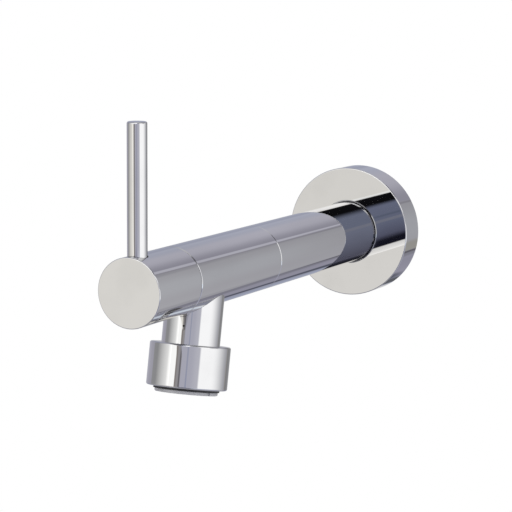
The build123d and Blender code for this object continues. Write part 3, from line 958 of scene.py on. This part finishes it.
class TAP_OT_inner_parts(bpy.types.Operator):
    """Give every piece that comes straight from the CAD model its finish"""

    bl_idname = "wall_tap.inner_parts"
    bl_label = "Inner parts"

    def execute(self, context):
        for part in frame["record"]["subparts"]:
            node = frame["nodes"][part["node"]]
            node.data.materials.clear()
            node.data.materials.append(finish_for(part["material_slot"]))
        return {"FINISHED"}


class TAP_OT_studio(bpy.types.Operator):
    """Set the pale floor, the lit cards round the tap and the camera"""

    bl_idname = "wall_tap.studio"
    bl_label = "Studio"

    def execute(self, context):
        settings = context.scene.tap_studio
        context.scene.view_settings.view_transform = "Standard"
        self.light(context, settings)
        self.floor(context, settings)
        self.camera(context, settings)
        return {"FINISHED"}

    def light(self, context, settings):
        """White background to the camera, and a studio of cards to everything else."""
        world = bpy.data.worlds.new("tap_studio")
        context.scene.world = world
        shader = Shader(world)
        towards = shader.node("ShaderNodeTexCoord", output="Generated")
        across, deep, high = (
            shader.node("ShaderNodeSeparateXYZ", None, {"Vector": towards}, axis) for axis in "XYZ")
        colour = studio_colour(
            shader, settings,
            axial=shader.degrees("ARCCOSINE", deep),
            around=shader.degrees("ARCTAN2", high, across),
            turned=shader.degrees("ARCTAN2", across, 0.0 - deep),
            raised=shader.degrees("ARCSINE", high))
        seen = shader.node("ShaderNodeLightPath", output="Is Camera Ray")
        background = shader.blend(colour, (1.0, 1.0, 1.0), seen)
        shader.finish(
            "ShaderNodeBackground", {"Color": background, "Strength": 1.0},
            "ShaderNodeOutputWorld")

    def floor(self, context, settings):
        """A pale round floor that mirror metal doesn't show."""
        shares = (0.5, 0.9, 1.0)
        segments = 96
        before_wall = 0.1
        centre = Vector((0.0, -before_wall, -settings.floor_drop))
        points = []
        for share in shares:
            for angle, _ in turn_steps(segments):
                points.append(centre + Vector(polar(settings.floor_radius * share, angle, 0.0)))
        points.append(centre)
        middle = len(points) - 1
        faces = []
        for step in range(segments):
            after = (step + 1) % segments
            faces.append((middle, step, after))
            for level in range(len(shares) - 1):
                inner = level * segments
                outer = inner + segments
                faces.append((inner + step, outer + step, outer + after, inner + after))
        mesh = bpy.data.meshes.new("studio_floor")
        mesh.from_pydata(points, [], faces)
        material = bpy.data.materials.new("tap_floor")
        shader = Shader(material)
        mottle = shader.noise(shader.place(), 6.0, 3.0)
        paint = shader.blend((0.80, 0.80, 0.80), (0.84, 0.84, 0.84), mottle)
        matt = shader.node(
            "ShaderNodeBsdfPrincipled", None, {"Base Color": paint, "Roughness": 0.9})
        clear = shader.node("ShaderNodeBsdfTransparent")
        mirrored = shader.node("ShaderNodeLightPath", output="Is Glossy Ray")
        shader.finish("ShaderNodeMixShader", {0: mirrored, 1: matt, 2: clear})
        mesh.materials.append(material)
        ground = bpy.data.objects.new("studio_floor", mesh)
        context.scene.collection.objects.link(ground)

    def camera(self, context, settings):
        """The camera of the picture, with its slight roll."""
        turn = settings.azimuth
        rise = settings.elevation
        roll = settings.roll
        back = Vector((sin(turn) * cos(rise), -cos(turn) * cos(rise), sin(rise)))
        right = Vector((cos(turn), sin(turn), 0.0))
        up = back.cross(right)
        rolled_right = right * cos(roll) + up * sin(roll)
        rolled_up = up * cos(roll) - right * sin(roll)
        facing = Matrix((rolled_right, rolled_up, back)).transposed().to_4x4()
        spot = Vector(settings.aim) + back * settings.distance
        lens = bpy.data.cameras.new("picture_camera")
        lens.sensor_width = 36.0
        lens.lens = settings.lens
        lens.clip_start = 0.05
        lens.clip_end = 20.0
        camera = bpy.data.objects.new("picture_camera", lens)
        camera.matrix_world = Matrix.Translation(spot) @ facing
        context.scene.collection.objects.link(camera)
        context.scene.camera = camera


# What the studio looks like in each direction. Angles are in degrees, colours are linear

def studio_colour(shader, settings, axial, around, turned, raised):
    """Colour of the studio by direction.

    axial is the angle from straight into the wall, around is the angle about the body's axis
    from the right, turned is the compass angle from straight out of the wall towards the
    right, and raised is the height above the horizon.
    """
    colour = long_bands(shader, settings, axial, around)
    colour = side_cards(shader, settings, colour, axial, around, turned, raised)
    colour = front_room(shader, settings, colour, axial, around, turned, raised)
    return far_strip(shader, colour, axial, around)


def long_bands(shader, settings, axial, around):
    """The walls, ceiling and floor that the long body mirrors as bands along its length."""
    smooth = shader.smooth
    inside = shader.inside
    blend = shader.blend
    room = tuple(settings.room)
    haze = tuple(settings.haze)

    # Card edges lean a little, so the bands drift as the direction nears the body's axis
    near = 1.0 - smooth(axial, 26.0, 29.0)
    rim = 1.0 - smooth(axial, 25.0, 25.8)
    beside = 1.0 - smooth(axial, 26.2, 27.0)
    past = axial - 28.0
    over = around - past * 1.35
    under = around + past * 2.0 - rim * 12.0

    # The ceiling, from the right over to the left
    far_haze = blend(haze, tint(haze, 0.93), near)
    ceiling = blend((0.47, 0.46, 0.545), far_haze, smooth(over, 57, 93.5))
    cool_corner = blend(ceiling, (0.57, 0.59, 0.71), smooth(around, 104, 134))
    upper = blend(cool_corner, (0.44, 0.46, 0.57), smooth(around, 140, 156))
    light_slot = smooth(around, 49.0, 51.2) * (1.0 - smooth(over, 55.8, 58.6)) * (1.0 - rim)
    upper = blend(upper, (0.76, 0.75, 0.85), light_slot)

    # The right wall, and the dark edge where it meets the ceiling
    wall = blend(tint(room, 0.94), (0.60, 0.61, 0.655), smooth(around, -44, -6))
    wall = blend(wall, tint(room, 0.88), smooth(around, 5, 42))
    dim_middle = inside(around, -30, 30, 12) * near * (1.0 - rim)
    wall = blend(wall, (0.54, 0.535, 0.575), dim_middle)
    warm_foot = inside(around, -51, -31, 5) * rim
    wall = blend(wall, (0.49, 0.475, 0.44), warm_foot)
    colour = blend(wall, upper, smooth(over, 47.0, 50.4))
    edge = blend((0.45, 0.44, 0.50), (0.39, 0.38, 0.43), near)
    colour = blend(colour, edge, inside(over, 45.0, 48.4, 1.2))

    # The floor, from under the right wall to the left
    floor = blend((0.34, 0.335, 0.405), (0.44, 0.43, 0.53), 1.0 - smooth(under, -80, -75.5))
    floor = blend(floor, (0.43, 0.46, 0.59), 1.0 - smooth(around, -116, -106))
    dark_strip = inside(around, -108, -98.3, 3.8) * (1.0 - rim * 0.9)
    floor = blend(floor, (0.12, 0.13, 0.18), dark_strip)
    wide_strip = inside(around, -112, -96, 4) * near * (1.0 - rim)
    floor = blend(floor, (0.11, 0.12, 0.16), wide_strip)
    skirting = inside(under, -71.5, -67.5, 1.5) * near
    floor = blend(floor, (0.17, 0.16, 0.19), skirting)
    dark_end = inside(around, -130, -112, 2.5) * beside
    floor = blend(floor, (0.14, 0.145, 0.165), dark_end)
    pale_end = (1.0 - smooth(around, -136, -131)) * beside
    floor = blend(floor, (0.68, 0.68, 0.69), pale_end)
    colour = blend(floor, colour, smooth(under, -68.3, -66.0))

    # Behind the tap, where only its far edges look
    behind = (1.0 - smooth(around, -150, -132)) * (1.0 - smooth(axial, 36, 60)) * (1.0 - beside)
    colour = blend(colour, (0.50, 0.50, 0.54), behind)
    return blend((0.37, 0.37, 0.38), colour, smooth(axial, 17, 23.5))


def side_cards(shader, settings, colour, axial, around, turned, raised):
    """White cards overhead and on the right, a dark gap, a doorway and the left wall."""
    smooth = shader.smooth
    inside = shader.inside
    blend = shader.blend
    card = tuple(settings.card)
    overhead = inside(around, 72, 108, 18) * inside(axial, 60, 120, 14)
    colour = blend(colour, card, overhead)
    dark_gap = inside(around, 46, 67, 4) * inside(axial, 40, 124, 6)
    colour = blend(colour, (0.10, 0.10, 0.11), dark_gap)
    left = smooth(shader.maths("ABSOLUTE", around), 150, 165) * smooth(axial, 36, 60)
    left_wall = blend((0.61, 0.60, 0.69), (0.48, 0.48, 0.49), smooth(axial, 87, 90.5))
    colour = blend(colour, left_wall, left)
    low = (1.0 - smooth(raised, -18.5, -15)) * smooth(axial, 36, 60)
    lit_card = blend(tint(card, 1.82), (0.70, 0.72, 0.88), low)
    doorway = inside(turned, 90, 124, 4) * inside(raised, 7, 22, 1.5)
    lit_card = blend(lit_card, (0.08, 0.09, 0.13), doorway)
    right = inside(around, -64, 42, 4) * smooth(axial, 20, 84)
    return blend(colour, lit_card, right)


def front_room(shader, settings, colour, axial, around, turned, raised):
    """What stands before the tap: a lavender wall, lamps, a white card and dark gaps."""
    smooth = shader.smooth
    inside = shader.inside
    blend = shader.blend
    card = tuple(settings.card)

    # The wall right of the camera, with a lamp and a gap low down and a lamp high up
    wall = blend((0.86, 0.86, 0.96), (0.73, 0.73, 0.85), smooth(axial, 124, 146))
    wall = blend((0.22, 0.22, 0.31), wall, smooth(raised, -26, -14))
    colour = blend(colour, wall, smooth(axial, 117.3, 123.3) * smooth(turned, -6, 3))
    blue_lamp = inside(turned, 37, 74, 3) * inside(raised, -19, -9.3, 1.0)
    colour = blend(colour, (1.62, 1.77, 1.97), blue_lamp)
    low_gap = inside(turned, 13, 27, 2) * inside(raised, -15, -8.9, 0.8)
    colour = blend(colour, (0.22, 0.24, 0.33), low_gap)
    high_lamp = inside(turned, -24, 30, 4) * inside(raised, 19, 46, 3)
    colour = blend(colour, tint(card, 2.8), high_lamp)

    # The white card left of the camera, warmer and dimmer below the horizon
    left = smooth(shader.maths("ABSOLUTE", around), 100, 135)
    warm = blend((1.94, 1.885, 1.745), (1.92, 1.92, 1.87), smooth(raised, -2, 5))
    bright = blend(warm, tint(card, 2.55), smooth(raised, 10, 14))
    lit = 0.57 + smooth(raised, -5, 4) * 0.43 - smooth(turned, -29, -26) * 0.04
    lit_end = -8.0 - smooth(raised, -9, -8.2) * 4.5
    lit_edge = smooth(turned, -23, -20.5) * (1.0 - smooth(turned - lit_end, -1.5, 1.5))
    lit_edge = lit_edge * (1.0 - smooth(raised, -3, -1)) * 0.38
    low_reach = smooth(axial, 88, 148)
    high_reach = shader.ramp(axial, 106, 150) * 0.73 + smooth(axial, 144, 150.5) * 0.27
    reach = low_reach + (high_reach - low_reach) * smooth(raised, -8, 0)
    reach = reach * smooth(raised, -26, -14)
    colour = blend(colour, bright, left * (lit + lit_edge) * reach)

    # The dark gap behind the camera, with slanted edges
    slant = smooth(raised, 8.9, 9.4)
    from_left = turned + slant * 2.6
    from_right = turned + slant * 4.6
    gap = smooth(from_left, -9.2, -7.4) * (1.0 - smooth(from_right, 7.0, 9.0))
    gap = gap * smooth(axial, 140, 150) * inside(raised, -15, 15, 3)
    shade = blend((0.43, 0.39, 0.37), (0.52, 0.50, 0.51), smooth(turned, -5, -3))
    dark_edge = inside(turned, 2.8, 6.8, 0.8) * (1.0 - slant * 0.5)
    shade = blend(shade, (0.25, 0.24, 0.27), dark_edge)
    return blend(colour, shade, gap)


def far_strip(shader, colour, axial, around):
    """The narrow strip of the room that the flange and the body show in each other."""
    smooth = shader.smooth
    inside = shader.inside
    blend = shader.blend
    black = (0.012, 0.012, 0.015)

    # What the body shows beside the flange: navy, fading to black, and a white card above
    body = blend((0.04, 0.04, 0.06), (0.22, 0.22, 0.31), smooth(around, -112, -95))
    body = blend(body, (0.50, 0.54, 0.73), shader.ramp(around, -90, 8))
    body = blend(body, (0.44, 0.49, 0.68), smooth(around, 14, 26))
    body = blend(body, black, smooth(around, 67, 98))
    body = blend(body, (2.25, 2.21, 2.16), smooth(around, 136.5, 140.5))

    # What the flange shows beside the body
    face = blend((0.02, 0.02, 0.04), (0.25, 0.26, 0.40), smooth(around, -61, -31))
    face = blend(face, (0.41, 0.455, 0.66), shader.ramp(around, -42, 12))
    face = blend(face, (0.32, 0.37, 0.54), inside(around, 37.5, 45, 3))
    face = blend(face, black, smooth(around, 80, 103))
    face = blend((2.0, 1.97, 1.9), face, smooth(around, -91, -84))

    # The body shows the strip as far as a shallow curve, and the flange shows it past that
    from_crown = around - 20.0
    on_face = smooth(axial + from_crown * from_crown * 0.000025, 154.4, 154.52)
    shown = blend(body, face, on_face)
    window = inside(around, 16.5, 27, 2.5) * 0.75
    shown = blend(shown, (0.60, 0.62, 0.76), window)
    strip = inside(axial, 152.4, 156.2, 0.35) * inside(around + on_face * 14.0, -133, 166, 3)
    return blend(colour, shown, strip)


# The sidebar, and registering

class TAP_PT_panel(bpy.types.Panel):
    """Sidebar panel with the sizes, the colours and a button for each piece"""

    bl_idname = "TAP_PT_panel"
    bl_label = "Wall Tap"
    bl_space_type = "VIEW_3D"
    bl_region_type = "UI"
    bl_category = "Wall Tap"

    def draw(self, context):
        for group in (context.scene.tap_sizes, context.scene.tap_colours, context.scene.tap_studio):
            box = self.layout.box()
            for name in group.__annotations__:
                box.prop(group, name)
        for operator in OPERATORS:
            self.layout.operator(operator.bl_idname)


OPERATORS = (
    TAP_OT_wall_flange,
    TAP_OT_body,
    TAP_OT_handle,
    TAP_OT_outlet,
    TAP_OT_aerator,
    TAP_OT_inlet,
    TAP_OT_inner_parts,
    TAP_OT_studio,
)
CLASSES = (TapSizes, TapColours, StudioSettings, *OPERATORS, TAP_PT_panel)


def register():
    """Registers the classes and puts their settings on the scene."""
    for one in CLASSES:
        bpy.utils.register_class(one)
    bpy.types.Scene.tap_sizes = bpy.props.PointerProperty(type=TapSizes)
    bpy.types.Scene.tap_colours = bpy.props.PointerProperty(type=TapColours)
    bpy.types.Scene.tap_studio = bpy.props.PointerProperty(type=StudioSettings)


def unregister():
    """Takes the settings and the classes away again."""
    del bpy.types.Scene.tap_studio
    del bpy.types.Scene.tap_colours
    del bpy.types.Scene.tap_sizes
    for one in reversed(CLASSES):
        bpy.utils.unregister_class(one)


def main():
    """Builds every piece in order."""
    register()
    bpy.ops.wall_tap.inner_parts()
    bpy.ops.wall_tap.wall_flange()
    bpy.ops.wall_tap.body()
    bpy.ops.wall_tap.handle()
    bpy.ops.wall_tap.outlet()
    bpy.ops.wall_tap.aerator()
    bpy.ops.wall_tap.inlet()
    bpy.ops.wall_tap.studio()
    bpy.context.view_layer.update()


if __name__ == "__main__":
    main()
